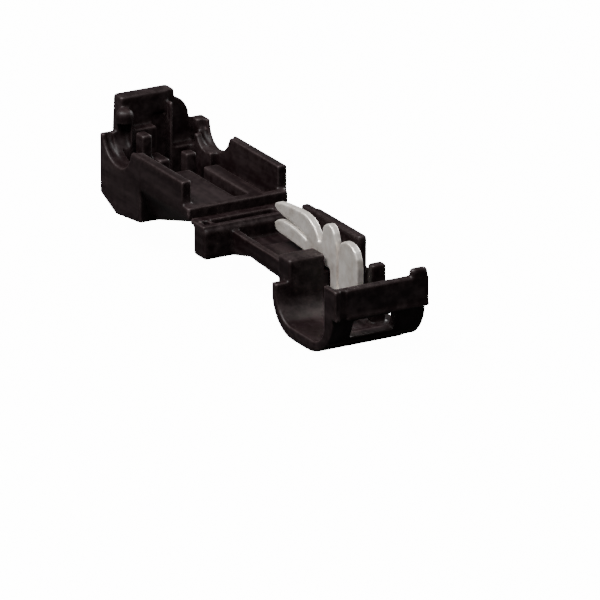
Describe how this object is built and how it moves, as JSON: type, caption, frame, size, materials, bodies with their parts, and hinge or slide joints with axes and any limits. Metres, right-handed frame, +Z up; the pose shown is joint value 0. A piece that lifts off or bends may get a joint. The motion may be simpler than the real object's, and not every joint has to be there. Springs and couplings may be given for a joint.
{
  "type": "t-tap connector",
  "caption": "Hinged wire tap that closes over a wire, with a round wire cradle, a flat stem that takes a push-on tab, and a stamped insulation-piercing contact.",
  "frame": {"origin": "middle of the bounding box's underside, with the connector lying open", "axes": "+X along the wire, +Y from the wire cradle past the hinge to the cover's latch, +Z up out of the open halves"},
  "size_m": [0.0122, 0.0526, 0.014],
  "materials": {
    "black_nylon_base": "moulded nylon with a soft sheen",
    "black_nylon_cover": "moulded nylon with a soft sheen",
    "tin_plate": "satin tin plate on stamped brass"
  },
  "bodies": {
    "base": {"base": "black_nylon_base", "contact": "tin_plate"},
    "cover": {"cover": "black_nylon_cover"}
  },
  "joints": [
    {"name": "living_hinge", "type": "hinge", "parent": "base", "child": "cover", "pos_m": [0, 0.001, 0.0079], "axis": [1, 0, 0], "range_deg": [0, 180]}
  ]
}
